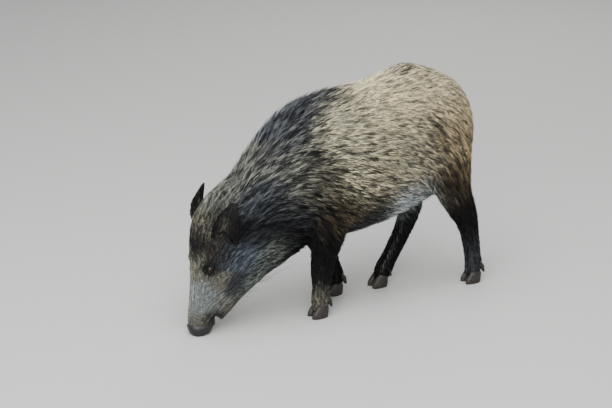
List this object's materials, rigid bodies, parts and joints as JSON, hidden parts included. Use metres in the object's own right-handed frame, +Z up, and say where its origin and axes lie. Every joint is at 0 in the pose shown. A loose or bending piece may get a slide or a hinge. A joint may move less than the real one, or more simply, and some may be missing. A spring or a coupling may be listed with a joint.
{
  "type": "wild boar",
  "caption": "Young wild boar, rooting as it walks, its snout lowered to the floor; a still life-size figure that stands on its hooves.",
  "frame": {"origin": "on the floor, below the middle of the body", "axes": "+Z up; the head points towards -X; the animal's own left side is -Y"},
  "size_m": [0.8395, 0.2448, 0.614],
  "materials": {
    "pale_coat": "coarse tan-grey bristle with dark streaks",
    "dark_coat": "coarse dark bristle with pale tips",
    "black_coat": "short near-black bristle",
    "face_coat": "short grey bristle",
    "nose_skin": "bare moist skin",
    "horn": "worn horn",
    "eye": "wet gloss"
  },
  "bodies": {
    "root": {"eye_left": "eye", "ear_left": "black_coat", "eye_right": "eye", "ear_right": "black_coat", "fore_left_hoof_outer": "horn", "fore_left_dewclaw_outer": "horn", "fore_left_hoof_inner": "horn", "fore_left_dewclaw_inner": "horn", "fore_right_hoof_outer": "horn", "fore_right_dewclaw_outer": "horn", "fore_right_hoof_inner": "horn", "fore_right_dewclaw_inner": "horn", "hind_left_hoof_outer": "horn", "hind_left_dewclaw_outer": "horn", "hind_left_hoof_inner": "horn", "hind_left_dewclaw_inner": "horn", "hind_right_hoof_outer": "horn", "hind_right_dewclaw_outer": "horn", "hind_right_hoof_inner": "horn", "hind_right_dewclaw_inner": "horn", "fore_left_upper_leg": "dark_coat", "fore_left_lower_leg": "black_coat", "fore_right_upper_leg": "dark_coat", "fore_right_lower_leg": "black_coat", "hind_left_upper_leg": "dark_coat", "hind_left_lower_leg": "black_coat", "hind_right_upper_leg": "dark_coat", "hind_right_lower_leg": "black_coat", "tail": "dark_coat", "trunk": "pale_coat", "neck": "dark_coat", "lower_jaw": "face_coat", "head": "face_coat", "snout_disc": "nose_skin"}
  },
  "joints": []
}
